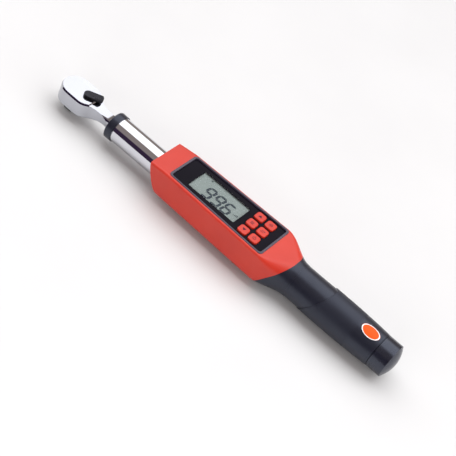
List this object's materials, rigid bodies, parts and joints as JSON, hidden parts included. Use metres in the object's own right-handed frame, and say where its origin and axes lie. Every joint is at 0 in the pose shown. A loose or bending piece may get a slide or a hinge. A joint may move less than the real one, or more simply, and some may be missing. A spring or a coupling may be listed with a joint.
{
  "type": "digital torque wrench",
  "caption": "Electronic torque wrench: reversible square-drive ratchet head on a chromed tube, red housing with display and keys, dark round grip with a screw-in battery cap.",
  "frame": {"origin": "where the drive axis crosses the centreline of the tube", "axes": "+X along the tool from the ratchet head to the grip, +Z out of the display side along the drive axis, away from the drive square"},
  "size_m": [0.3905, 0.0504, 0.038],
  "materials": {
    "chrome": "polished plating",
    "gear_steel": "blackened",
    "black_steel": "blackened satin",
    "spring_steel": "bright",
    "black_plastic": "satin",
    "grip_rubber": "fine matt",
    "red_plastic": "satin",
    "rim_plastic": "satin",
    "dark_panel": "gloss",
    "window": "clear gloss",
    "lcd": "grey-green reflective display",
    "board": "solder resist",
    "badge_plate": "plain gloss oval",
    "battery": "printed sleeve"
  },
  "bodies": {
    "wrench": {"head_body": "chrome", "gear_cover": "black_steel", "snap_ring": "black_steel", "main_tube": "chrome", "tube_pins": "spring_steel", "front_collar": "black_plastic", "strain_gauges": "board", "sensor_cable": "board", "display_housing": "red_plastic", "bottom_cover": "red_plastic", "cover_screws": "spring_steel", "bezel_frame": "rim_plastic", "front_panel": "dark_panel", "display_lens": "window", "main_board": "board", "lcd_module": "lcd", "key_switches": "board", "buzzer": "black_plastic", "controller_chip": "black_plastic", "grip_front": "black_plastic", "grip_core": "black_plastic", "grip_sleeve": "grip_rubber", "rear_ring": "black_plastic", "badge": "badge_plate", "battery_liner": "black_plastic", "battery_1": "battery", "battery_2": "battery", "front_contact": "spring_steel"},
    "drive": {"drive_gear": "gear_steel", "drive_spring": "spring_steel"},
    "socket_ball": {"drive_ball": "spring_steel"},
    "pawl": {"pawl": "gear_steel"},
    "lever": {"reverse_lever": "black_steel", "lever_spring": "spring_steel"},
    "lever_plunger": {"lever_ball": "spring_steel"},
    "battery_contact": {"contact_plate": "spring_steel", "contact_spring": "spring_steel"},
    "cap": {"end_cap": "black_plastic", "cap_seal": "grip_rubber"},
    "key_1": {"key_1": "red_plastic"},
    "key_2": {"key_2": "red_plastic"},
    "key_3": {"key_3": "red_plastic"},
    "key_4": {"key_4": "red_plastic"},
    "key_5": {"key_5": "red_plastic"},
    "key_6": {"key_6": "red_plastic"}
  },
  "joints": [
    {"name": "drive_spin", "type": "hinge", "parent": "wrench", "child": "drive", "pos_m": [0, 0, 0], "axis": [0, 0, 1], "continuous": true},
    {"name": "socket_ball_press", "type": "slide", "parent": "drive", "child": "socket_ball", "axis": [1, 0, 0], "range_m": [0, 0.0005], "stiffness_N_per_m": 4000, "springref_m": -0.0005, "deforming": ["drive_spring"]},
    {"name": "lever_swing", "type": "hinge", "parent": "wrench", "child": "lever", "pos_m": [0.0152, 0, 0], "axis": [0, 0, 1], "range_deg": [-56, 0]},
    {"name": "pawl_rock", "type": "hinge", "parent": "wrench", "child": "pawl", "pos_m": [0.0152, 0, 0], "axis": [0, 0, 1], "range_deg": [-10.5, 0.5]},
    {"name": "lever_plunger_press", "type": "slide", "parent": "lever", "child": "lever_plunger", "axis": [-0.8829, -0.4695, 0], "range_m": [0, 0.0003], "stiffness_N_per_m": 3000, "springref_m": -0.0004, "deforming": ["lever_spring"]},
    {"name": "cap_turn", "type": "hinge", "parent": "battery_contact", "child": "cap", "pos_m": [0.3568, 0, 0], "axis": [1, 0, 0], "range_deg": [0, 720]},
    {"name": "cap_advance", "type": "slide", "parent": "wrench", "child": "battery_contact", "axis": [1, 0, 0], "range_m": [0, 0.005]},
    {"name": "key_1_press", "type": "slide", "parent": "wrench", "child": "key_1", "axis": [0, 0, -1], "range_m": [0, 0.0007], "stiffness_N_per_m": 2200, "springref_m": -0.0002},
    {"name": "key_2_press", "type": "slide", "parent": "wrench", "child": "key_2", "axis": [0, 0, -1], "range_m": [0, 0.0007], "stiffness_N_per_m": 2200, "springref_m": -0.0002},
    {"name": "key_3_press", "type": "slide", "parent": "wrench", "child": "key_3", "axis": [0, 0, -1], "range_m": [0, 0.0007], "stiffness_N_per_m": 2200, "springref_m": -0.0002},
    {"name": "key_4_press", "type": "slide", "parent": "wrench", "child": "key_4", "axis": [0, 0, -1], "range_m": [0, 0.0007], "stiffness_N_per_m": 2200, "springref_m": -0.0002},
    {"name": "key_5_press", "type": "slide", "parent": "wrench", "child": "key_5", "axis": [0, 0, -1], "range_m": [0, 0.0007], "stiffness_N_per_m": 2200, "springref_m": -0.0002},
    {"name": "key_6_press", "type": "slide", "parent": "wrench", "child": "key_6", "axis": [0, 0, -1], "range_m": [0, 0.0007], "stiffness_N_per_m": 2200, "springref_m": -0.0002}
  ],
  "couplings": [
    {"joint": "pawl_rock", "follows": "lever_swing", "ratio": 0.17857},
    {"joint": "cap_turn", "follows": "cap_advance", "rad_per_m": 2513.3}
  ]
}
